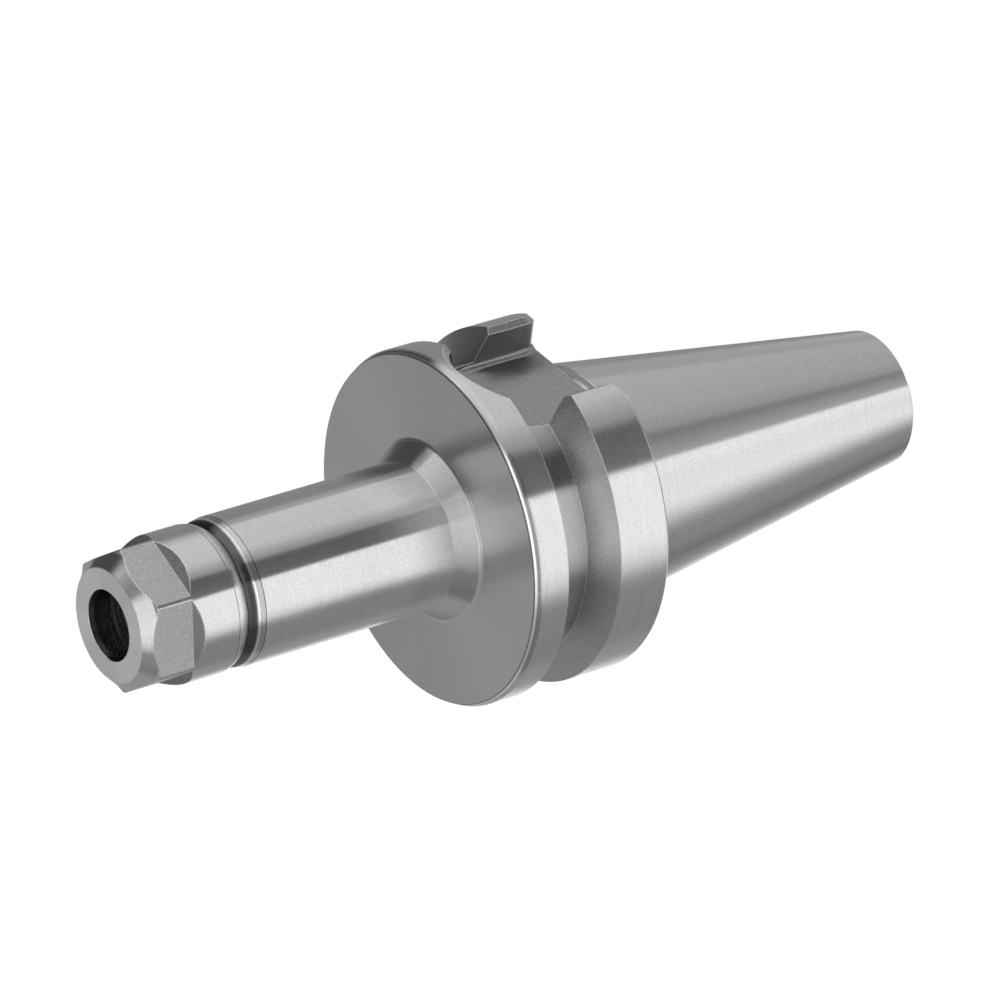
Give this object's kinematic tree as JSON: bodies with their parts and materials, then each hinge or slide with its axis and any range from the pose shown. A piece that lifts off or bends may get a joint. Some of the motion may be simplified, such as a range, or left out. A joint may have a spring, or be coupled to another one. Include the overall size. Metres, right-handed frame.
{
  "type": "collet chuck tool holder",
  "caption": "Steep-taper milling tool holder: ground taper shank, V-grooved flange with key slots, and a long slim nose that carries a turning collet clamping nut with spanner flats.",
  "frame": {"origin": "on the spindle axis at the taper's gauge line, where the taper is 31.75 mm across", "axes": "+Z along the spindle axis from the tail to the nut's face, the key slots on +X and -X"},
  "size_m": [0.046, 0.046, 0.1184],
  "materials": {
    "holder_steel": "ground and finely turned, satin",
    "nut_steel": "finely turned, with matt milled flats"
  },
  "bodies": {
    "holder": {"holder_body": "holder_steel"},
    "nut": {"clamping_nut": "nut_steel"}
  },
  "joints": [
    {"name": "nut_turn", "type": "hinge", "parent": "holder", "child": "nut", "pos_m": [0, 0, 0.06], "axis": [0, 0, 1], "range_deg": [0, 3690]}
  ]
}
